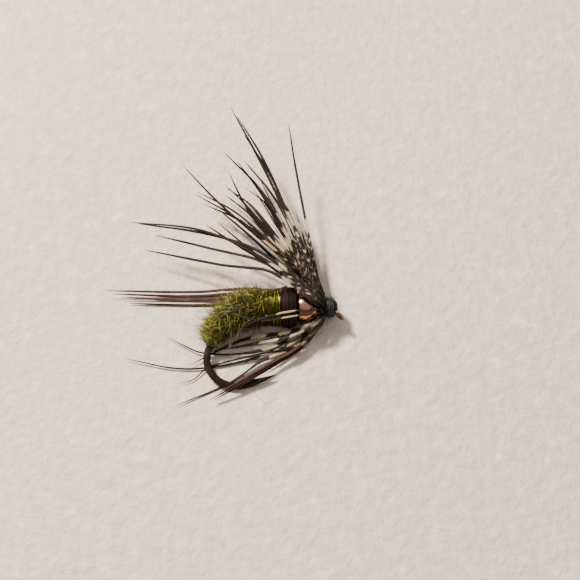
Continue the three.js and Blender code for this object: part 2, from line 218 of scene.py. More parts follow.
def ramp(nodes, stops):
    node = nodes.new("ShaderNodeValToRGB")
    elements = node.color_ramp.elements
    while len(elements) < len(stops):
        elements.new(0.5)
    for element, (at, colour) in zip(elements, stops):
        element.position = at
        element.color = (*colour, 1)
    return node


def noise(nodes, links, scale, detail):
    place = nodes.new("ShaderNodeTexCoord")
    node = nodes.new("ShaderNodeTexNoise")
    node.inputs["Scale"].default_value = scale
    node.inputs["Detail"].default_value = detail
    links.new(place.outputs["Object"], node.inputs["Vector"])
    return node


def set_values(shader, **values):
    for key, value in values.items():
        shader.inputs[key.replace("_", " ")].default_value = value


def spread(nodes, links, source, low, high):
    """Stretches the middle of a noise's range over low to high."""
    node = nodes.new("ShaderNodeMapRange")
    node.inputs["From Min"].default_value = 0.3
    node.inputs["From Max"].default_value = 0.7
    node.inputs["To Min"].default_value = low
    node.inputs["To Max"].default_value = high
    links.new(source, node.inputs["Value"])
    return node.outputs["Result"]


def bump(nodes, links, source, shader, strength, distance):
    node = nodes.new("ShaderNodeBump")
    node.inputs["Strength"].default_value = strength
    node.inputs["Distance"].default_value = distance
    links.new(source, node.inputs["Height"])
    links.new(node.outputs["Normal"], shader.inputs["Normal"])


def attribute(nodes, name):
    node = nodes.new("ShaderNodeAttribute")
    node.attribute_name = name
    return node.outputs["Fac"]


def added(nodes, links, first, second, scale):
    """first + (second - 0.5) * scale."""
    centred = nodes.new("ShaderNodeMath")
    centred.operation = "MULTIPLY_ADD"
    centred.inputs[1].default_value = scale
    centred.inputs[2].default_value = -0.5 * scale
    links.new(second, centred.inputs[0])
    total = nodes.new("ShaderNodeMath")
    total.operation = "ADD"
    links.new(first, total.inputs[0])
    links.new(centred.outputs[0], total.inputs[1])
    return total.outputs[0]


def metal_material(name, stops, metallic, rough, scale, bump_height, specular=0.5):
    mat, nodes, links, shader = new_material(name)
    mottle = noise(nodes, links, scale, 6)
    colour = ramp(nodes, stops)
    links.new(mottle.outputs["Fac"], colour.inputs["Fac"])
    links.new(colour.outputs["Color"], shader.inputs["Base Color"])
    wear = noise(nodes, links, scale * 4, 3)
    links.new(spread(nodes, links, wear.outputs["Fac"], *rough), shader.inputs["Roughness"])
    bump(nodes, links, wear.outputs["Fac"], shader, 0.3, bump_height)
    set_values(shader, Metallic=metallic, Specular_IOR_Level=specular)
    return mat


def fibre_material(name, stops, rough, sheen=0.0, mottle=0.35, metallic=0.0, coat=0.0, specular=0.3):
    """Colour from each fibre's own tint, with fine mottling."""
    mat, nodes, links, shader = new_material(name)
    tint = attribute(nodes, "tint")
    speckle = noise(nodes, links, SPECKLE_SCALE, 3)
    colour = ramp(nodes, stops)
    links.new(added(nodes, links, tint, speckle.outputs["Fac"], mottle), colour.inputs["Fac"])
    links.new(colour.outputs["Color"], shader.inputs["Base Color"])
    links.new(spread(nodes, links, speckle.outputs["Fac"], *rough), shader.inputs["Roughness"])
    set_values(shader, Metallic=metallic, Sheen_Weight=sheen, Coat_Weight=coat, Coat_Roughness=0.15,
               Specular_IOR_Level=specular)
    return mat


HOOK_MATERIAL = metal_material(
    "bronzed_steel",
    [(0.3, (0.006, 0.004, 0.003)), (0.55, (0.015, 0.01, 0.006)), (0.8, (0.045, 0.028, 0.014))],
    0.2, (0.3, 0.46), 700, 0.000004, specular=0.1)
# The eye is the hook's own bronzed wire, painted lighter than the rest of the hook as a painted highlight.
EYE_MATERIAL = metal_material(
    "bronze_painted_lighter",
    [(0.3, (0.05, 0.04, 0.025)), (0.55, (0.12, 0.09, 0.055)), (0.8, (0.24, 0.18, 0.11))],
    0.7, (0.3, 0.5), 900, 0.000006)
BEAD_MATERIAL = metal_material(
    "copper_plate",
    [(0.3, (0.34, 0.16, 0.115)), (0.6, (0.48, 0.22, 0.15)), (0.85, (0.58, 0.31, 0.24))],
    1.0, (0.1, 0.2), 500, 0.000003)
COLLAR_MATERIAL = fibre_material(
    "claret_thread",
    [(0.1, (0.003, 0.001, 0.001)), (0.5, (0.014, 0.004, 0.003)), (0.9, (0.06, 0.014, 0.01))],
    (0.45, 0.65), specular=0.12)
HEAD_MATERIAL = fibre_material(
    "charcoal_thread",
    [(0.1, (0.004, 0.004, 0.004)), (0.5, (0.013, 0.013, 0.013)), (0.9, (0.06, 0.059, 0.056))],
    (0.35, 0.6), coat=0.12, specular=0.25)
BASE_MATERIAL = fibre_material(
    "base_thread", [(0.1, (0.02, 0.014, 0.006)), (0.9, (0.12, 0.09, 0.035))], (0.4, 0.6), sheen=0.1)
TINSEL_MATERIAL = fibre_material(
    "olive_tinsel",
    [(0.05, (0.012, 0.007, 0.003)), (0.4, (0.05, 0.034, 0.006)), (0.72, (0.14, 0.125, 0.01)),
     (1.0, (0.6, 0.72, 0.09))],
    (0.2, 0.4), metallic=0.55, mottle=0.5, specular=0.15)
DUBBING_MATERIAL = fibre_material(
    "olive_dubbing",
    [(0.02, (0.009, 0.006, 0.002)), (0.3, (0.04, 0.028, 0.004)), (0.6, (0.14, 0.12, 0.01)),
     (0.95, (0.52, 0.52, 0.08))],
    (0.3, 0.55))
HAIR_MATERIAL = fibre_material(
    "guard_hair", [(0.05, (0.012, 0.009, 0.007)), (0.5, (0.13, 0.075, 0.05)), (0.95, (0.6, 0.52, 0.36))],
    (0.35, 0.6), sheen=0.1)
HACKLE_MATERIAL = fibre_material(
    "barred_hackle",
    [(0.06, (0.47, 0.37, 0.24)), (0.34, (0.2, 0.155, 0.1)), (0.56, (0.03, 0.018, 0.013)),
     (0.95, (0.006, 0.004, 0.004))],
    (0.5, 0.75), mottle=0.26, specular=0.15)
RUSTY_MATERIAL = fibre_material(
    "rusty_hackle",
    [(0.06, (0.45, 0.35, 0.23)), (0.34, (0.2, 0.13, 0.08)), (0.58, (0.05, 0.017, 0.012)),
     (0.95, (0.012, 0.005, 0.004))],
    (0.5, 0.75), mottle=0.3, specular=0.2)


# ---- the hook ----

def hook_curve(count):
    """Centreline of the hook's wire on its own plane, from the eye to the point."""
    flat = np.concatenate([HOOK_LINE, np.zeros((len(HOOK_LINE), 1))], 1)
    line, _ = smooth_line(flat, count)
    return line


def wire_part():
    """The wire: round to the bend, forged flatter from there on, and tapered along the spear to the point."""
    line = hook_curve(420)
    at = np.linspace(0, 1, len(line))
    spear = int(np.argmin(np.where(at > 0.8, np.abs(line[:, 0] - SPEAR_X), 9)))
    taper = np.clip((at - at[spear]) / (1 - at[spear]), 0, 1)
    slim = 1 - (1 - HOOK_POINT_SHARE) * taper ** 1.4
    bend = np.argmin(np.where(at < 0.6, np.abs(line[:, 0] - FORGED_X), 9))
    forged = np.clip((at - at[bend]) / 0.04, 0, 1)
    forged = forged ** 2 * (3 - 2 * forged)
    wide = slim * (WIRE_RADIUS + (BEND_HALF_WIDTH - WIRE_RADIUS) * forged)
    flattened = WIRE_RADIUS + (BEND_HALF_THICKNESS - WIRE_RADIUS) * forged
    limit = np.minimum(slim * WIRE_RADIUS, flattened)
    sides = 32
    out = np.zeros_like(line)
    out[:, 2] = 1
    verts, quads, tris = sweep(line[None], wide[None], (slim * WIRE_RADIUS)[None], out[None], sides)
    rows = verts.reshape(len(line), sides, 3)
    share = rows[:, :, 2] / limit[:, None]
    rows[:, :, 2] = limit[:, None] * share / (1 + np.abs(share) ** 3) ** (1 / 3)
    return rows.reshape(-1, 3), quads, tris, {}


def eye_part():
    """The ring eye, bent down."""
    turn = np.linspace(0, 2 * np.pi, 97)
    drop = np.array([math.cos(EYE_DROP), -math.sin(EYE_DROP), 0])
    axis = np.cross(drop, [0, 0, 1])
    ring = np.array([*EYE_CENTRE, 0]) + EYE_RING_RADIUS * (
        np.cos(turn)[:, None] * drop + np.sin(turn)[:, None] * np.array([0, 0, 1]))
    wide = np.full((1, len(ring)), EYE_WIRE_RADIUS)
    thick = np.full((1, len(ring)), EYE_HALF_THICKNESS)
    flat = np.tile(axis, (1, len(ring), 1))
    verts, quads, tris = sweep(ring[None], wide, thick, flat, 20)
    return to_frame(verts), quads, tris, {}


def hook_barb_part():
    """The small barb raised behind the point."""
    steps = 9
    line = np.linspace([-5.72, -7.78, 0], [-6.32, -7.14, 0], steps)
    line[:, 1] += 0.05 * np.sin(np.linspace(0, np.pi, steps))
    wide = np.linspace(0.24, 0.015, steps)[None]
    thick = np.linspace(0.16, 0.015, steps)[None]
    verts, quads, tris = sweep(line[None], wide, thick, np.tile([0, 0, 1.0], (1, steps, 1)), 12)
    return verts, quads, tris, {}


hook_verts, hook_quads, hook_tris, _ = joined([wire_part(), hook_barb_part()])
piece("hook_wire", (to_frame(hook_verts), hook_quads, hook_tris, {}), HOOK_MATERIAL, ["hook"])
piece("hook_eye", eye_part(), EYE_MATERIAL)


# ---- pieces wound or turned round the shank ----

def shank_points(x, radius, angle):
    """Points round the shank, x in millimetres from the bead's centre along it."""
    return BEAD + np.stack([x, radius * np.cos(angle), radius * np.sin(angle)], -1) * MM


def turned_part(path, segments, tint=0.3, ripple=0.0):
    """A turned skin along (x, radius) points that return to the first, so that it closes."""
    path = np.asarray(path, float)
    angle = np.linspace(0, 2 * np.pi, segments, endpoint=False)
    x = np.repeat(path[:, :1], segments, 1)
    r = np.repeat(path[:, 1:], segments, 1)
    r = r * (1 + ripple * np.sin(angle * 5 + x * 7) * np.sin(angle * 3 - x * 4))
    verts = shank_points(x, r, np.tile(angle, (len(path), 1))).reshape(-1, 3)
    ring, side = np.meshgrid(np.arange(len(path) - 1), np.arange(segments), indexing="ij")
    after = (side + 1) % segments
    quads = np.stack([ring * segments + side, (ring + 1) * segments + side,
                      (ring + 1) * segments + after, ring * segments + after], -1).reshape(-1, 4)
    return verts, quads, np.zeros((0, 3), int), {"tint": np.full(len(verts), tint)}


def winding_part(path, pitch, radius, wobble, hand, tint):
    """Thread wound along a profile of (x, radius) points."""
    samples = 400
    profile = np.concatenate([np.asarray(path, float), np.zeros((len(path), 1))], 1)
    line, length = smooth_line(profile, samples)
    turns = length / pitch
    count = int(turns * 40)
    at = np.linspace(0, 1, count)
    x = np.interp(at, np.linspace(0, 1, samples), line[:, 0])
    r = np.interp(at, np.linspace(0, 1, samples), line[:, 1])
    angle = hand * 2 * np.pi * turns * at
    smooth = np.convolve(RNG.normal(size=count + 40), np.ones(41) / 6.4, "valid")
    x = x + wobble * smooth * pitch
    points = shank_points(x, r + 0.3 * radius * np.abs(smooth), angle)
    normals = np.stack([0 * angle, np.cos(angle), np.sin(angle)], -1)
    wide = np.full((1, count), radius * 1.15 * MM)
    thick = np.full((1, count), radius * 0.8 * MM)
    sides = 6
    verts, quads, tris = sweep(points[None], wide, thick, normals[None], sides)
    shade = tint + 0.16 * np.repeat(smooth, sides)
    return verts, quads, tris, {"tint": shade}


def fibres(roots, directions, curls, lengths, radii, segments, sides, tints):
    """Curved hairs, each from its root in its direction, bending toward its curl. Lengths in millimetres."""
    t = np.linspace(0, 1, segments + 1)
    lines = (roots[:, None] + (directions[:, None] * t[:, None] + curls[:, None] * t[:, None] ** 2)
             * (lengths * MM)[:, None, None])
    lines[..., 2] = np.maximum(lines[..., 2], LOWEST_HAIR)
    normals = unit(np.cross(directions, curls))
    normals = np.repeat(normals[:, None], segments + 1, 1)
    width = (radii * MM)[:, None] * (1 - 0.75 * t ** 2)
    verts, quads, tris = sweep(lines, width, width, normals, sides)
    return verts, quads, tris, {"tint": np.repeat(tints, (segments + 1) * sides)}


def bead_part():
    """The bead: a sphere with a bore that narrows a little inside its rims."""
    rim = math.asin(BEAD_BORE_RADIUS / BEAD_RADIUS)
    arc = np.linspace(rim, math.pi - rim, 72)
    path = [(-BEAD_RADIUS * math.cos(a), BEAD_RADIUS * math.sin(a)) for a in arc]
    path += [(1.5, 0.36), (0, 0.35), (-1.5, 0.36), path[0]]
    verts, quads, tris, _ = turned_part(path[::-1], 128)
    return verts, quads, tris, {}


piece("copper_bead", bead_part(), BEAD_MATERIAL, ["bead"], sharp=math.radians(50))

collar_core = [(-2.42, 0.6)] + [(x, r - CORE_DEPTH) for x, r in COLLAR_PATH] + [(-1.5, 0.6), (-2.42, 0.6)]
piece("collar_thread", joined([
    turned_part(collar_core[::-1], 64, 0.1),
    winding_part(COLLAR_PATH, COLLAR_PITCH, 0.05, 0.12, 1, 0.35),
    winding_part([(-2.3, 2.04), (-1.9, 2.08), (-1.35, 2.07), (-1.1, 1.99)], 0.21, 0.045, 0.5, -1, 0.5),
]), COLLAR_MATERIAL, ["thread_collar"])


def stubs(count, reach, length, radius, tint):
    """Cut fibre ends that stand out of the head."""
    angle = RNG.uniform(0, 2 * np.pi, count)
    x = RNG.uniform(1.7, 3.0, count)
    r = RNG.uniform(*reach, count)
    root = shank_points(x, r, angle)
    outward = np.stack([0 * angle, np.cos(angle), np.sin(angle)], -1)
    direction = unit(outward + RNG.normal(0, 0.7, (count, 3)) - np.array([0.5, 0, 0]))
    curl = unit(RNG.normal(size=(count, 3))) * 0.4
    return fibres(root, direction, curl, RNG.uniform(*length, count), RNG.uniform(*radius, count), 4, 3,
                  RNG.uniform(*tint, count))


piece("head_fuzz", stubs(260, (0.7, 0.98), (0.3, 0.85), (0.02, 0.04), (0.1, 0.9)),
      HEAD_MATERIAL)

head_core = ([(2.0, 0.4)] + [(x, r - CORE_DEPTH) for x, r in HEAD_PATH]
             + [(3.3, 0.02), (2.0, 0.02), (2.0, 0.4)])
piece("head_thread", joined([
    turned_part(head_core[::-1], 48, 0.1),
    winding_part(HEAD_PATH, HEAD_PITCH, 0.06, 0.15, 1, 0.3),
    winding_part(HEAD_PATH[1:-1], 0.24, 0.055, 0.6, -1, 0.45),
]), HEAD_MATERIAL, ["thread_head"])


def quill_part():
    """The feather's quill, wound in front of the bead."""
    angle = np.linspace(0, STEM_TURNS * 2 * np.pi, STEM_STEPS)
    line = shank_points(np.linspace(1.64, 2.1, STEM_STEPS), np.full(STEM_STEPS, STEM_COIL_RADIUS), angle)
    up = np.stack([0 * angle, np.cos(angle), np.sin(angle)], -1)
    wide = np.full((1, STEM_STEPS), 0.12 * MM)
    thick = np.full((1, STEM_STEPS), 0.11 * MM)
    verts, quads, tris = sweep(line[None], wide, thick, up[None], 10)
    return verts, quads, tris, {"tint": 0.2 + 0.15 * np.sin(np.arange(len(verts)) / 90)}


piece("wound_quill", quill_part(), HACKLE_MATERIAL, ["feather_stem"])


# ---- dubbed body, along the hook's curve from the tinsel to the bend ----

HOOK_FINE = hook_curve(2400)


def station(x):
    """Index along the fine hook line where it first reaches x."""
    return int(np.argmax(HOOK_FINE[:, 0] <= x))


FRONT, BACK = station(BODY_FRONT_X), station(BODY_BACK_X)
BASE_START = station(BASE_FRONT_X)


def body_frame(index):
    """Centre, direction toward the bend, in-plane and out-of-plane axes, all in the part's frame."""
    centre = to_frame(HOOK_FINE[index])
    step = HOOK_FINE[np.minimum(index + 1, len(HOOK_FINE) - 1)] - HOOK_FINE[index - 1]
    along = unit(to_frame(step) - to_frame(np.zeros(3)))
    out = unit(to_frame([0, 0, 1.0]) - to_frame([0, 0, 0.0]))
    across = unit(np.cross(out, along))
    return centre, along, across, np.broadcast_to(out, along.shape)


def body_radius(index, angle):
    """The dubbing lies mostly on the outside of the wire, more so toward the bend. Angle 0 is the inside."""
    share = np.clip((index - FRONT) / (BACK - FRONT), 0, 1)
    radius = np.interp(share * (len(BODY_RADII) - 1), np.arange(len(BODY_RADII)), BODY_RADII)
    return BODY_SCALE * radius * (1 - (0.12 + 0.42 * share) * np.cos(angle))


def body_point(index, angle, radius):
    """A point round the hook's line, with the directions along the line, outward and around it."""
    centre, along, across, out = body_frame(index)
    outward = across * np.cos(angle)[..., None] + out * np.sin(angle)[..., None]
    around = -across * np.sin(angle)[..., None] + out * np.cos(angle)[..., None]
    return centre + outward * radius[..., None] * MM, along, outward, around


def dubbing_core_part():
    """Lumpy underlayer of the dubbing, closed at both ends, tinted dark as painted shade between the hairs
    and darker still in the dips between its lumps.
    """
    rings = np.linspace(FRONT, BACK + 4, CORE_STEPS).astype(int)
    turns = np.linspace(0, 2 * np.pi, CORE_SIDES, endpoint=False)
    ring_grid = np.repeat(rings[:, None], CORE_SIDES, 1)
    turn_grid = np.repeat(turns[None], CORE_STEPS, 0)
    lumps = (np.sin(ring_grid / 31 + turn_grid * 3) * np.sin(turn_grid * 5 - ring_grid / 17)
             + 0.6 * np.sin(ring_grid / 9 + turn_grid * 7))
    radius_grid = body_radius(ring_grid, turn_grid) * 0.84 + 0.06 * lumps
    radius_grid[0] = 0.5
    radius_grid[-1] = 0.4
    radius_grid = np.maximum(radius_grid, 0.4)
    skin, _, _, _ = body_point(ring_grid, turn_grid, radius_grid)
    ring, side = np.meshgrid(np.arange(CORE_STEPS - 1), np.arange(CORE_SIDES), indexing="ij")
    here = ring * CORE_SIDES
    after = (side + 1) % CORE_SIDES
    quads = np.stack([
        here + after, here + CORE_SIDES + after, here + CORE_SIDES + side, here + side,
    ], -1).reshape(-1, 4)
    fan = np.arange(1, CORE_SIDES - 1)
    last = (CORE_STEPS - 1) * CORE_SIDES
    caps = np.concatenate([
        np.stack([0 * fan, fan + 1, fan], -1),
        np.stack([last + 0 * fan, last + fan, last + fan + 1], -1),
    ])
    # The tint is painted shade: low overall, and lower in the dips between the lumps.
    return skin.reshape(-1, 3), quads, caps, {"tint": (0.12 + 0.1 * lumps).ravel()}


def base_part():
    """Thread base under it all, seen only where it runs out behind the dubbing."""
    samples = 160
    index = np.linspace(BASE_START, BACK + 26, samples).astype(int)
    turn = np.linspace(0, 2 * np.pi * BASE_TURNS, BASE_STEPS)
    at = np.interp(np.linspace(0, 1, BASE_STEPS), np.linspace(0, 1, samples), index).astype(int)
    line, _, outward, _ = body_point(at, turn, np.full(BASE_STEPS, BASE_RADIUS))
    wide = np.full((1, BASE_STEPS), 0.06 * MM)
    thick = np.full((1, BASE_STEPS), 0.05 * MM)
    sides = 6
    verts, quads, tris = sweep(line[None], wide, thick, outward[None], sides)
    return verts, quads, tris, {"tint": 0.4 + 0.2 * np.repeat(np.sin(turn / 6), sides)}


piece("dubbing_core", dubbing_core_part(), DUBBING_MATERIAL, ["dubbed_body"])
piece("base_thread", base_part(), BASE_MATERIAL, ["thread_base"])


def patches_and_shade(index, angle):
    """Light and dark patches over the dubbing, brighter toward the bend, plus painted shade: browner and
    darker on the inside of the curve, which faces away from the key light, and lighter on the outside.
    """
    share = (index - FRONT) / (BACK - FRONT)
    # The -0.14 * cos(angle) term is painted shade on the inside of the curve, and painted light on the
    # outside.
    return (0.13 * np.sin(share * 13 + angle * 2) * np.sin(angle * 3 - share * 8) - 0.14 * np.cos(angle)
            + 0.12 * (share - 0.5))


def held_back(index):
    """Hairs near the bend lean along the wire less."""
    return np.clip((BACK + 10 - index) / (0.3 * (BACK - FRONT)), 0.1, 1)[:, None]


def matted(count, spread_out, length, radius, tint, segments=5):
    """Short hairs matted round the dubbed body."""
    index = (FRONT + (BACK + 6 - FRONT) * RNG.random(count)).astype(int)
    angle = RNG.uniform(0, 2 * np.pi, count)
    radius_here = body_radius(index, angle) * RNG.uniform(0.8, 0.96, count)
    root, along, outward, around = body_point(index, angle, radius_here)
    swirl = RNG.choice([-1, 1], count, p=[0.3, 0.7])[:, None]
    lift = RNG.uniform(*spread_out, count)[:, None]
    direction = unit(around * swirl * RNG.uniform(0.2, 1, (count, 1))
                     + along * RNG.normal(0.25, 0.55, (count, 1)) * held_back(index) + outward * lift)
    curl = unit(RNG.normal(size=(count, 3)) * 0.7 - outward * 0.9) * RNG.uniform(0.25, 0.8, (count, 1))
    lengths = RNG.uniform(*length, count) * np.clip(radius_here / 1.7, 0.28, 1.1)
    return fibres(root, direction, curl, lengths, RNG.uniform(*radius, count), segments, 3,
                  np.clip(RNG.normal(*tint, count) + patches_and_shade(index, angle), 0, 1))


def standing(count, length, radius, tint, lift, back=0.35, segments=6):
    """Hairs that stand out of the dubbing."""
    index = (FRONT + (BACK + 4 - FRONT) * RNG.random(count)).astype(int)
    angle = RNG.uniform(0, 2 * np.pi, count)
    root, along, outward, around = body_point(index, angle, body_radius(index, angle) * 0.86)
    direction = unit(outward * RNG.uniform(*lift, (count, 1)) + around * RNG.normal(0, 0.6, (count, 1))
                     + along * RNG.normal(back, 0.4, (count, 1)) * held_back(index))
    curl = unit(RNG.normal(size=(count, 3))) * RNG.uniform(0.15, 0.75, (count, 1))
    lengths = RNG.uniform(*length, count) * np.clip(body_radius(index, angle) / 1.3, 0.35, 1)
    return fibres(root, direction, curl, lengths, RNG.uniform(*radius, count), segments, 3,
                  np.clip(RNG.normal(*tint, count) + patches_and_shade(index, angle), 0, 1))


piece("dubbing_matted", matted(3400, (0.0, 0.6), (0.6, 1.7), (0.014, 0.03), (0.3, 0.26)),
      DUBBING_MATERIAL)
piece("dubbing_tufts", joined([
    matted(900, (0.3, 1.2), (0.6, 1.4), (0.022, 0.044), (0.5, 0.3)),
    standing(760, (0.7, 1.6), (0.018, 0.032), (0.54, 0.3), (0.5, 1.1), 0.5),
    standing(150, (1.3, 2.6), (0.02, 0.03), (0.4, 0.3), (0.5, 1.1), 0.6, 8),
]), DUBBING_MATERIAL)
piece("dubbing_wisps", standing(150, (1.0, 2.2), (0.011, 0.02), (0.72, 0.22), (0.4, 1.0), 0.6, 9),
      DUBBING_MATERIAL)
piece("guard_hairs", joined([
    standing(70, (0.9, 2.4), (0.014, 0.022), (0.12, 0.15), (0.6, 1.2), 0.5, 9),
    standing(30, (1.6, 3.2), (0.012, 0.02), (0.2, 0.2), (0.5, 1.1), 0.6, 10),
    standing(26, (1.6, 4.0), (0.008, 0.013), (0.85, 0.1), (0.5, 1.1), 0.7, 12),
]), HAIR_MATERIAL)


def loose_hair(points, radius, tint):
    """One long stray hair through points given in millimetres from the bead's centre."""
    steps = 60
    line, _ = smooth_line(BEAD + np.array(points) * MM, steps)
    thin = np.full((1, steps), radius * MM)
    verts, quads, tris = sweep(line[None], thin, thin, np.tile([0.1, 0.2, 1.0], (1, steps, 1)), 5)
    return verts, quads, tris, {"tint": tint + 0.1 * np.sin(np.arange(len(verts)) / 40)}


piece("stray_hairs", joined([
    loose_hair([(-5.9, -6.6, -0.9), (-5.4, -7.9, -1.5), (-4.9, -8.9, -1.9), (-3.8, -9.8, -1.97)],
               0.016, 0.45),
    loose_hair([(-7.4, -2.9, 1.2), (-7.6, -4.6, 0.9), (-7.5, -6.2, 0.2), (-7.9, -7.4, -0.6)], 0.016, 0.5),
    loose_hair([(-6.0, 1.6, 0.9), (-6.3, 2.8, 1.6), (-6.5, 4.2, 1.7), (-6.4, 5.6, 1.2)], 0.013, 0.75),
    loose_hair([(-7.6, 0.9, 0.6), (-9.0, 2.0, 0.7), (-10.9, 3.1, 0.1), (-12.4, 3.9, -0.4)], 0.013, 0.5),
    loose_hair([(-9.6, -2.4, 0.3), (-10.4, -2.6, 0.9), (-11.3, -3.0, 0.8), (-11.2, -3.9, 0.3)], 0.018, 0.8),
    loose_hair([(-9.4, -2.9, 0.5), (-10.6, -2.2, 0.9), (-11.6, -2.3, 0.4), (-12.1, -3.1, 0.0)], 0.016, 0.85),
]), HAIR_MATERIAL)


# ---- glossy wraps in front of the dubbing ----

TINSEL_TURNS = 9
TINSEL_PITCH = 0.205


def hoops(count, x_range, radius_range, sweep_range, thickness, tint):
    """Fine bright strands laid round the shank, each a part turn, painted lighter on the side that faces the
    key light.
    """
    steps = 14
    sides = 4
    t = np.linspace(0, 1, steps)
    start = RNG.uniform(0, 2 * np.pi, count)
    arc_length = RNG.uniform(*sweep_range, count)
    angle = start[:, None] + arc_length[:, None] * t
    x = RNG.uniform(*x_range, count)[:, None] + RNG.normal(0, 0.05, count)[:, None] * (t - 0.5) * 4
    x = np.clip(x, x_range[0], x_range[1])
    r = RNG.uniform(*radius_range, count)[:, None] - 0.25 * (2 * t - 1) ** 4
    points = shank_points(x, r, angle)
    normals = np.stack([0 * angle, np.cos(angle), np.sin(angle)], -1)
    wide = RNG.uniform(*thickness, count)[:, None] * np.ones(steps) * MM
    verts, quads, tris = sweep(points, wide, wide * 0.6, normals, sides)
    # 0.1 * cos(angle) is painted light: strands on the +y side, toward the key light, get a lighter tint.
    tints = RNG.normal(*tint, count) + 0.1 * np.cos(angle[:, steps // 2])
    return verts, quads, tris, {"tint": np.repeat(np.clip(tints, 0, 1), steps * sides)}


def tinsel_path():
    """Profile of the wraps under the bright strands: a low ridge for each turn."""
    path = [(-2.5, 0.62), (-2.5, 1.8)]
    for turn in range(TINSEL_TURNS):
        x = -2.52 - turn * TINSEL_PITCH
        path += [(x, 1.76), (x - 0.05, 1.83), (x - 0.12, 1.84), (x - 0.18, 1.79)]
    return path + [(-4.4, 1.8), (-4.4, 0.62), (-2.5, 0.62)]


piece("tinsel_body", joined([
    turned_part(tinsel_path(), 96, 0.2, 0.008),
    hoops(1700, (-4.5, -2.5), (1.84, 1.97), (0.3, 1.5), (0.016, 0.038), (0.4, 0.26)),
]), TINSEL_MATERIAL, ["tinsel_wraps"])


# ---- hackle barbs ----

STRAND_SIDES = 5
BARB_STEPS = 150
BARB_SIDES = 8
BARBULE_STEP = 0.11


def strand_line(name):
    """Centreline of a CAD strand in metres, root first. Its rings are found by distance from the roots."""
    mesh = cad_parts[name].data
    points = np.empty(len(mesh.vertices) * 3)
    mesh.vertices.foreach_get("co", points)
    points = np.unique(points.reshape(-1, 3).round(8), axis=0)
    order = np.argsort(np.linalg.norm(points - BARB_ROOTS, axis=1))
    whole = len(order) // STRAND_SIDES * STRAND_SIDES
    return points[order][:whole].reshape(-1, STRAND_SIDES, 3).mean(1)


def bars(rng, fine_to, light_from, bar, gap, patch):
    """Edges of a barb's alternating dark and light stretches, in millimetres. A light patch ends them."""
    edges, at = [], rng.uniform(0.0, 0.4)
    while at < light_from:
        coarse = 1 if at < fine_to else 1.6
        edges.append(at)
        at += rng.uniform(*bar) * coarse
        edges.append(at)
        at += rng.uniform(*gap) * coarse
    edges.append(edges[-1] + rng.uniform(*patch))
    return edges


def bar_tint(distance, edges):
    """0 on the light stretches, 1 on the dark ones."""
    value = np.zeros_like(distance)
    for k, edge in enumerate(edges):
        step = np.clip((distance - edge) / 0.12 + 0.5, 0, 1)
        value = value + step if k % 2 == 0 else value - step
    return np.clip(value, 0, 1)


def barb_part(line, rng, edges, width, reddish=0.0, fringe=1.0, slim=1.0, root=1.0):
    """One feather barb: a flattened tapering shaft with a fringe of barbules down both edges.

    slim narrows it past its barred stretch, and root narrows it near its root.
    """
    points, length = smooth_line(line, BARB_STEPS)
    length = length / MM
    distance = np.linspace(0, length, BARB_STEPS)
    share = distance / length
    outward = unit(points - FAN_CENTRE)
    twist = rng.normal(0, 0.35)
    normals = unit(np.array([0, 0, 1.0]) + 0.5 * outward + twist * np.array([1.0, 0, 0])
                   + rng.normal(0, 0.15, 3))
    along = unit(np.gradient(points, axis=0))
    normals = unit(normals - (normals * along).sum(-1, keepdims=True) * along)
    swell = np.interp(share, [0, 0.06, 0.2, 0.42, 0.75, 0.92, 1], [0.5, 0.85, 1, 0.92, 0.8, 0.5, 0.16])
    swell = swell * np.interp(distance - edges[-1], [0, 2.5], [1, slim])
    swell = swell * np.interp(distance, [2.6, 3.8], [root, 1])
    half = width * swell * 0.5
    dark = bar_tint(distance, edges)
    pale = np.interp(distance, [0.9, 1.8, 3.5, 6.5], [0.7, 0.42, 0.3, 0.06])
    tint = pale + dark * (0.8 - reddish * 0.14 - pale) + rng.normal(0, 0.03)
    wide = (half * 0.72 * MM)[None]
    thick = (half * 0.32 * MM + 0.00001)[None]
    verts, quads, tris = sweep(points[None], wide, thick, normals[None], BARB_SIDES)
    slant = rng.uniform(-0.25, 0.25)
    notch = rng.uniform(0.05, 0.2)
    side = np.cos(2 * np.pi * (np.arange(BARB_SIDES) + 0.5) / BARB_SIDES)
    skewed = distance[:, None] + slant * side + notch * np.abs(side)
    parts = [(verts, quads, tris, {"tint": np.interp(skewed, distance, tint).ravel()})]

    stations = np.arange(0.5, length * 0.95, BARBULE_STEP)
    for hand in (-1, 1):
        s = stations + rng.uniform(-0.03, 0.03, len(stations))
        place = np.stack([np.interp(s, distance, points[:, k]) for k in range(3)], -1)
        lead = unit(np.stack([np.interp(s, distance, along[:, k]) for k in range(3)], -1))
        up = unit(np.stack([np.interp(s, distance, normals[:, k]) for k in range(3)], -1))
        across = np.cross(lead, up) * hand
        reach = np.interp(s, distance, half)
        lean = rng.uniform(0.9, 1.7, len(s))[:, None]
        direction = unit(lead * lean + across + up * rng.normal(0, 0.12, (len(s), 1)))
        curl = unit(lead * 0.8 - across * 0.35 + up * rng.normal(0, 0.3, (len(s), 1))) * 0.35
        lengths = reach * rng.uniform(1.0, 1.9, len(s)) * fringe * np.interp(s, [0, 4, 12], [1.35, 1.15, 0.8])
        slanted = s + slant * hand + notch + rng.normal(0, 0.1, len(s)) * np.interp(s, [0, 8], [1, 0.4])
        shade = np.interp(slanted, distance, tint) + rng.normal(0, 0.05, len(s))
        parts.append(fibres(place, direction, curl, lengths, 0.012 + reach * 0.09, 3, 3, shade))
    return joined(parts)


BARBS = sorted(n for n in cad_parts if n.startswith("hackle_barb_"))
LINES = [strand_line(name) for name in BARBS]
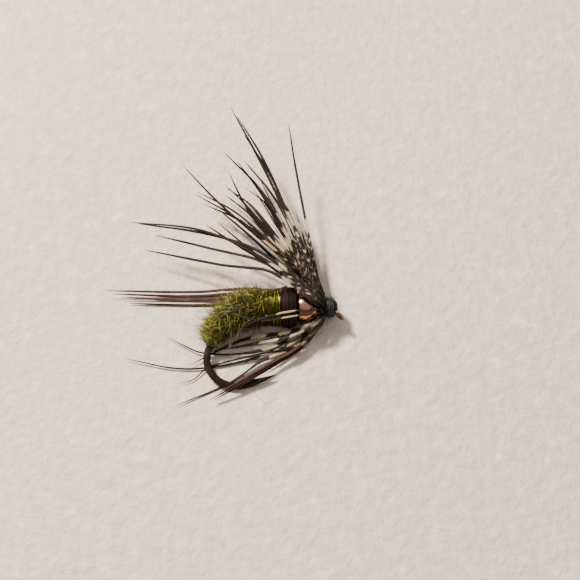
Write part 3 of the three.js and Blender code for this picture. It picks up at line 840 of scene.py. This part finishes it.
# Barbs by number: the fan, its swept-back edge, straight ones that run back low over the table, those whose
# tips lie over the near side of the body, and a clump that runs out past the bend. The rest lie on the side
# of the gape.
DORSAL = range(0, 18)
SWEPT = range(18, 24)
STRAIGHT = range(24, 29)
FRONT_SIDE = range(29, 32)
CLUMP = (38, 39, 40)
FIRST_GAPE = 32
RUSTY_IN_FAN = (8, 13)
FINE_BARS = ((0.35, 0.95), (0.15, 0.42))
BROAD_BARS = ((0.6, 1.3), (0.7, 1.9))


def patch_start(rng, number):
    """Where the last light patch of a barb in the fan begins: farther out on the front edge of the fan."""
    return rng.uniform(7.8, 9.2) if number < 5 else rng.uniform(5.2, 6.8)


for number, name in enumerate(BARBS):
    rng = np.random.default_rng(100 + number)
    width = rng.uniform(0.42, 0.53)
    rusty = number in STRAIGHT or number in CLUMP or number in RUSTY_IN_FAN
    if number in DORSAL:
        edges = bars(rng, 5.5, patch_start(rng, number), *FINE_BARS, (1.2, 2.0))
    elif number in SWEPT:
        edges = bars(rng, 4.5, rng.uniform(4.5, 6.5), *FINE_BARS, (0.8, 1.8))
    elif number in FRONT_SIDE:
        edges = [0, rng.uniform(3.8, 4.2), rng.uniform(5.4, 5.9)]
        width = 0.3
    elif number in STRAIGHT or number in CLUMP:
        edges = bars(rng, 9, rng.uniform(2.2, 3.6), *BROAD_BARS, (0.6, 1.2))
    else:
        edges = bars(rng, 9, rng.uniform(5.2, 7.0), *BROAD_BARS, (1.2, 2.6))
        width = rng.uniform(0.46, 0.6)
    slim = 0.66 if number >= FIRST_GAPE and number not in CLUMP else 1.0
    root = 0.36 if number in FRONT_SIDE else 1.0
    part = barb_part(LINES[number], rng, edges, width, 1.0 if rusty else 0.2, slim=slim, root=root)
    piece(name.replace("hackle_barb", "feather_barb"), part, RUSTY_MATERIAL if rusty else HACKLE_MATERIAL,
          [name])


def between(first, second, share, reach):
    """A line part way from one strand to another, cut short."""
    count = 60
    first_line, _ = smooth_line(first, count)
    second_line, _ = smooth_line(second, count)
    blend = first_line * (1 - share) + second_line * share
    return blend[: int(count * reach)]


def filling(seed, count, firsts, step, reach, shares=(0.1, 0.9), all_dark=False):
    """Shorter barbs that fill the fan between the long ones."""
    made = []
    for k in range(count):
        rng = np.random.default_rng(seed + k)
        first = int(rng.integers(*firsts))
        second = min(first + int(rng.integers(1, step + 1)), SWEPT[-1])
        line = between(LINES[first], LINES[second], rng.uniform(*shares), rng.uniform(*reach))
        line = line + np.array([0, 0, -rng.uniform(0.0, 0.35) * MM])
        edges = bars(rng, 5.0, patch_start(rng, first), *FINE_BARS, (1.2, 2.2))
        if all_dark:
            edges = [0.0]
        made.append(barb_part(line, rng, edges, rng.uniform(0.2, 0.32), 0.2, 1.5))
    return joined(made)


FILLING = {
    "filler_front": filling(300, 34, (0, 1), 3, (0.34, 0.54), shares=(-0.5, 0.45)),
    "filler_middle": filling(400, 28, (1, 16), 3, (0.3, 0.55)),
    "filler_inner": filling(428, 28, (1, 16), 3, (0.3, 0.55)),
    "filler_long": filling(500, 26, (4, 14), 2, (0.6, 0.85)),
    "filler_dark": filling(600, 14, (14, 22), 2, (0.22, 0.4), all_dark=True),
}
for name, part in FILLING.items():
    piece(name, part, HACKLE_MATERIAL)


# ---- floor, light and camera ----

def floor_material():
    mat, nodes, links, shader = new_material("pale_table")
    grain = noise(nodes, links, 700, 8)
    colour = ramp(nodes, [(0.3, (0.65, 0.54, 0.445)), (0.6, (0.75, 0.63, 0.525)), (0.72, (0.88, 0.76, 0.65))])
    links.new(grain.outputs["Fac"], colour.inputs["Fac"])
    links.new(colour.outputs["Color"], shader.inputs["Base Color"])
    set_values(shader, Roughness=0.75)
    fine = noise(nodes, links, 1100, 5)
    bump(nodes, links, fine.outputs["Fac"], shader, 0.6, 0.0005)
    return mat


FLOOR_HALF = 0.6
floor_corners = [(-FLOOR_HALF, -FLOOR_HALF, 0), (FLOOR_HALF, -FLOOR_HALF, 0),
                 (FLOOR_HALF, FLOOR_HALF, 0), (-FLOOR_HALF, FLOOR_HALF, 0)]
floor_mesh = bpy.data.meshes.new("table_top")
floor_mesh.from_pydata(floor_corners, [], [(0, 1, 2, 3)])
floor_mesh.materials.append(floor_material())
floor = bpy.data.objects.new("table_top", floor_mesh)
bpy.context.scene.collection.objects.link(floor)


def area_light(name, place, target, size, watts, colour):
    """A round light at a place in metres, aimed at the target."""
    data = bpy.data.lights.new(name, "AREA")
    data.shape = "DISK"
    data.size = size
    data.energy = watts
    data.color = colour
    obj = bpy.data.objects.new(name, data)
    obj.location = place
    obj.rotation_euler = (Vector(target) - Vector(place)).to_track_quat("-Z", "Y").to_euler()
    bpy.context.scene.collection.objects.link(obj)


area_light("key", (-0.16, 0.14, 0.26), tuple(BEAD), 0.06, 3.0, (1, 0.95, 0.89))
area_light("overhead", (0.02, 0.02, 0.6), tuple(BEAD), 1.4, 2.9, (1, 0.97, 0.94))
world = bpy.data.worlds.new("soft_room")
world.use_nodes = True
room = world.node_tree.nodes["Background"]
room.inputs["Color"].default_value = (0.95, 0.93, 0.9, 1)
room.inputs["Strength"].default_value = 0.25
bpy.context.scene.world = world

# The camera's distance, and how far it is moved right and up from the bead, in millimetres.
DISTANCE = 108
MOVED_RIGHT = -1.547
MOVED_UP = 1.805
ELEVATION = math.radians(65)
BACK_AWAY = np.array([0, -math.cos(ELEVATION), math.sin(ELEVATION)])
RIGHT = np.array([1.0, 0, 0])
UPWARD = np.cross(BACK_AWAY, RIGHT)
camera_data = bpy.data.cameras.new("camera")
camera_data.lens = 65
camera_data.sensor_width = 36
camera_data.clip_start = 0.005
camera = bpy.data.objects.new("camera", camera_data)
camera.location = BEAD + (BACK_AWAY * DISTANCE + RIGHT * MOVED_RIGHT + UPWARD * MOVED_UP) * MM
camera.rotation_euler = Vector(-BACK_AWAY).to_track_quat("-Z", "Y").to_euler()
bpy.context.scene.collection.objects.link(camera)
bpy.context.scene.camera = camera
